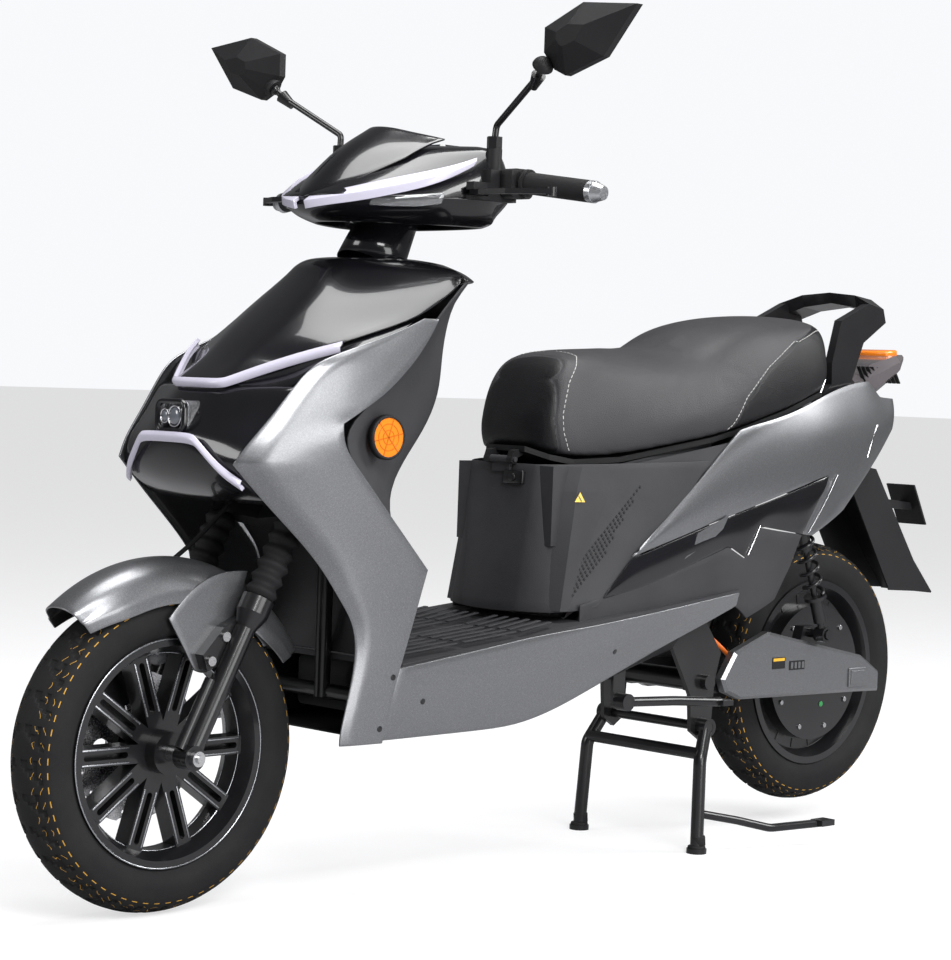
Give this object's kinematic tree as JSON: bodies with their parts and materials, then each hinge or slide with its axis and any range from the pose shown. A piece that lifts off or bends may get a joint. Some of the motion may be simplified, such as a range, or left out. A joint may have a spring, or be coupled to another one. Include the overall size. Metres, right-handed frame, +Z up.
{
  "type": "electric moped scooter",
  "caption": "Step-through electric moped scooter on its centre stand, with turning front end, sprung wheels, hinged two-level seat, folding stands, levers and tilting mirrors.",
  "frame": {"origin": "on the ground, below the middle of the overall length, on the middle plane", "axes": "+X forward, +Y to the rider's left, +Z up"},
  "size_m": [2.0139, 0.962, 1.325],
  "materials": {
    "silver_paint": "satin metallic",
    "black_gloss": "gloss",
    "grey_plastic": "fine grain",
    "black_plastic": "matte",
    "black_metal": "semi-gloss",
    "black_chassis": "satin",
    "tyre": "matte",
    "rubber": "matte",
    "steel": "brushed",
    "chrome": "polished",
    "aluminium": "satin",
    "vinyl": "fine grain",
    "lens": "frosted",
    "lamp_glass": "clear",
    "tail_lens": "smoked red",
    "amber": "prismatic",
    "mirror_glass": "polished",
    "display": "gloss",
    "orange_cable": "satin",
    "battery_case": "matte"
  },
  "bodies": {
    "root": {"main_frame": "black_chassis", "battery_pack": "battery_case", "hood_cover": "black_gloss", "nose_cover": "black_gloss", "light_bars": "lens", "headlight": "lamp_glass", "leg_shields": "silver_paint", "inner_shield": "grey_plastic", "side_reflectors": "amber", "floorboard": "grey_plastic", "sill_panels": "silver_paint", "belly_pan": "black_plastic", "seat_box": "grey_plastic", "rear_panels": "silver_paint", "accent_panels": "black_gloss", "grab_rail": "black_metal", "tail_lamp": "tail_lens", "rear_mudguard": "black_plastic", "body_screws": "steel", "motor_cable": "orange_cable"},
    "steering": {"steering_yoke": "black_chassis", "handlebar": "steel", "handlebar_cover": "black_gloss", "visor_screen": "black_gloss", "head_lamps": "lens", "dash_display": "display", "left_grip": "rubber", "bar_ends": "aluminium", "hand_controls": "black_plastic", "mirror_stems": "black_metal", "fork_gaiters": "rubber"},
    "fork": {"fork_sliders": "black_metal", "front_fender": "silver_paint", "fork_fasteners": "steel", "front_caliper": "black_metal", "brake_hose": "rubber"},
    "front_wheel": {"front_tyre": "tyre", "front_rim": "aluminium", "front_disc": "steel"},
    "throttle": {"throttle_grip": "rubber"},
    "left_lever": {"brake_lever_left": "black_metal"},
    "right_lever": {"brake_lever_right": "black_metal"},
    "left_mirror": {"mirror_head_left": "black_plastic", "mirror_glass_left": "mirror_glass"},
    "right_mirror": {"mirror_head_right": "black_plastic", "mirror_glass_right": "mirror_glass"},
    "horn": {"horn_button": "black_plastic"},
    "start": {"start_button": "black_plastic"},
    "turn": {"turn_switch": "black_plastic"},
    "seat": {"seat_base": "black_plastic", "seat_cushion": "vinyl"},
    "swing": {"swingarm": "black_metal", "swingarm_cover": "silver_paint"},
    "rear_wheel": {"rear_tyre": "tyre", "hub_motor": "aluminium"},
    "shock_upper": {"shock_bodies": "black_metal", "shock_springs": "black_metal"},
    "shock_lower": {"shock_rods": "chrome"},
    "centre_stand": {"centre_stand": "black_metal"},
    "side_stand": {"side_stand": "black_metal"}
  },
  "joints": [
    {"name": "steer", "type": "hinge", "parent": "root", "child": "steering", "pos_m": [0.76028, 0, 0.21985], "axis": [-0.4695, 0, 0.8829], "range_deg": [-35, 35]},
    {"name": "fork_slide", "type": "slide", "parent": "steering", "child": "fork", "axis": [-0.4695, 0, 0.8829], "range_m": [0, 0.06], "stiffness_N_per_m": 8000, "springref_m": -0.03, "deforming": ["fork_gaiters", "brake_hose"]},
    {"name": "front_spin", "type": "hinge", "parent": "fork", "child": "front_wheel", "pos_m": [0.785, 0, 0.233], "axis": [0, 1, 0], "continuous": true},
    {"name": "left_lever_pull", "type": "hinge", "parent": "steering", "child": "left_lever", "pos_m": [0.366, 0.188, 1.056], "axis": [0, 0, 1], "range_deg": [0, 12], "stiffness_Nm_per_rad": 3, "springref_deg": -8.59},
    {"name": "right_lever_pull", "type": "hinge", "parent": "steering", "child": "right_lever", "pos_m": [0.366, -0.188, 1.056], "axis": [0, 0, -1], "range_deg": [0, 12], "stiffness_Nm_per_rad": 3, "springref_deg": -8.59},
    {"name": "throttle_turn", "type": "hinge", "parent": "steering", "child": "throttle", "pos_m": [0.3, -0.215, 1.076], "axis": [-0.108, -0.9866, -0.1224], "range_deg": [0, 60], "stiffness_Nm_per_rad": 0.6, "springref_deg": -11.46},
    {"name": "left_mirror_tilt", "type": "hinge", "parent": "steering", "child": "left_mirror", "pos_m": [0.352, 0.304, 1.236], "axis": [0, 1, 0], "range_deg": [-12, 12]},
    {"name": "right_mirror_tilt", "type": "hinge", "parent": "steering", "child": "right_mirror", "pos_m": [0.352, -0.304, 1.236], "axis": [0, 1, 0], "range_deg": [-12, 12]},
    {"name": "horn_press", "type": "slide", "parent": "steering", "child": "horn", "axis": [1, 0, 0], "range_m": [0, 0.003], "stiffness_N_per_m": 300, "springref_m": -0.001},
    {"name": "start_press", "type": "slide", "parent": "steering", "child": "start", "axis": [1, 0, 0], "range_m": [0, 0.003], "stiffness_N_per_m": 300, "springref_m": -0.001},
    {"name": "turn_slide", "type": "slide", "parent": "steering", "child": "turn", "axis": [0, 1, 0], "range_m": [-0.004, 0.004]},
    {"name": "seat_open", "type": "hinge", "parent": "root", "child": "seat", "pos_m": [0.11, 0, 0.654], "axis": [0, 1, 0], "range_deg": [0, 70]},
    {"name": "swing_pivot", "type": "hinge", "parent": "root", "child": "swing", "pos_m": [-0.291, 0, 0.282], "axis": [0, 1, 0], "range_deg": [0, 8], "stiffness_Nm_per_rad": 2500, "springref_deg": -3.44, "deforming": ["motor_cable"]},
    {"name": "rear_spin", "type": "hinge", "parent": "swing", "child": "rear_wheel", "pos_m": [-0.665, 0, 0.272], "axis": [0, 1, 0], "continuous": true},
    {"name": "shock_pivot", "type": "hinge", "parent": "root", "child": "shock_upper", "pos_m": [-0.47, 0, 0.642], "axis": [0, 1, 0], "range_deg": [0, 2]},
    {"name": "shock_slide", "type": "slide", "parent": "shock_upper", "child": "shock_lower", "axis": [0.3547, 0, 0.935], "range_m": [0, 0.045], "deforming": ["shock_springs"]},
    {"name": "centre_stand_fold", "type": "hinge", "parent": "root", "child": "centre_stand", "pos_m": [-0.285, 0, 0.207], "axis": [0, 1, 0], "range_deg": [0, 80]},
    {"name": "side_stand_swing", "type": "hinge", "parent": "root", "child": "side_stand", "pos_m": [-0.063, 0.13, 0.265], "axis": [0, -1, 0], "range_deg": [0, 100]}
  ],
  "couplings": [
    {"joint": "shock_pivot", "follows": "swing_pivot", "ratio": 0.0595},
    {"joint": "shock_slide", "follows": "swing_pivot", "m_per_rad": 0.2964}
  ]
}
